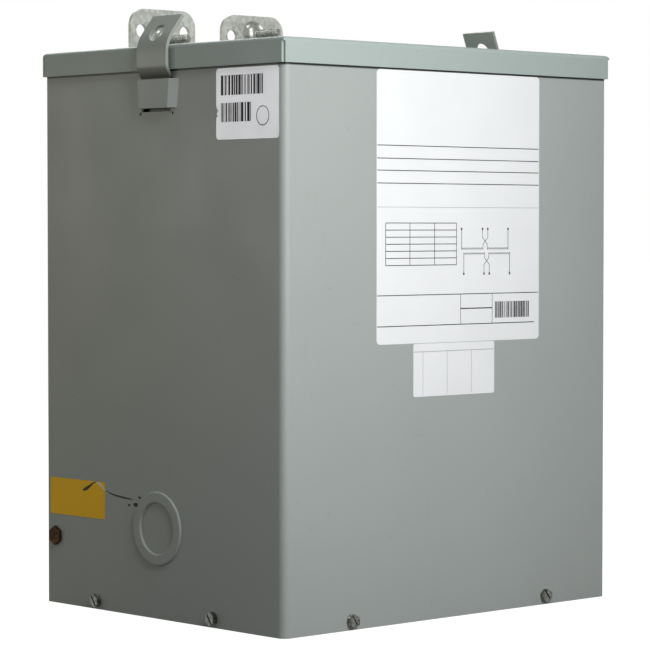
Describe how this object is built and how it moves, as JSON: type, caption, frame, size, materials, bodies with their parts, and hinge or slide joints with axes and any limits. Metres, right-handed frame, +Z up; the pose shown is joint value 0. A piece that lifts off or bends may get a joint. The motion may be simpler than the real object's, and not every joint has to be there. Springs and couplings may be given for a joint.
{
  "type": "dry-type distribution transformer",
  "caption": "Potted dry-type transformer in a grey painted sheet-steel box with a flanged lid, lifting straps on its sides and hanger plates at the back for a wall or pole bracket.",
  "frame": {"origin": "middle of the enclosure's footprint, on the underside of the bottom cover", "axes": "+Z up, +Y from the front wall to the hanger plates on the back, +X to the viewer's right facing the front wall"},
  "size_m": [0.3249, 0.2608, 0.4247],
  "materials": {
    "enclosure_paint": "satin grey paint",
    "lid_paint": "satin grey paint",
    "strap_paint": "satin grey paint",
    "galvanised_steel": "dull mottled zinc coating",
    "zinc_steel": "bright zinc plated",
    "brass": "tarnished",
    "potting": "matt cast compound"
  },
  "bodies": {
    "root": {"body_wrap": "enclosure_paint", "back_panel": "enclosure_paint", "bottom_cover": "enclosure_paint", "lid": "lid_paint", "lifting_strap_left": "strap_paint", "lifting_strap_right": "strap_paint", "hanger_plate_left": "galvanised_steel", "hanger_plate_right": "galvanised_steel", "hanger_stud_left": "zinc_steel", "hanger_stud_right": "zinc_steel", "hanger_bolts_left": "zinc_steel", "hanger_bolts_right": "zinc_steel", "cover_screws_left": "zinc_steel", "cover_screws_right": "zinc_steel", "cover_screws_front": "zinc_steel", "ground_bolt": "brass", "ground_nut": "brass", "potted_core": "potting"}
  },
  "joints": []
}
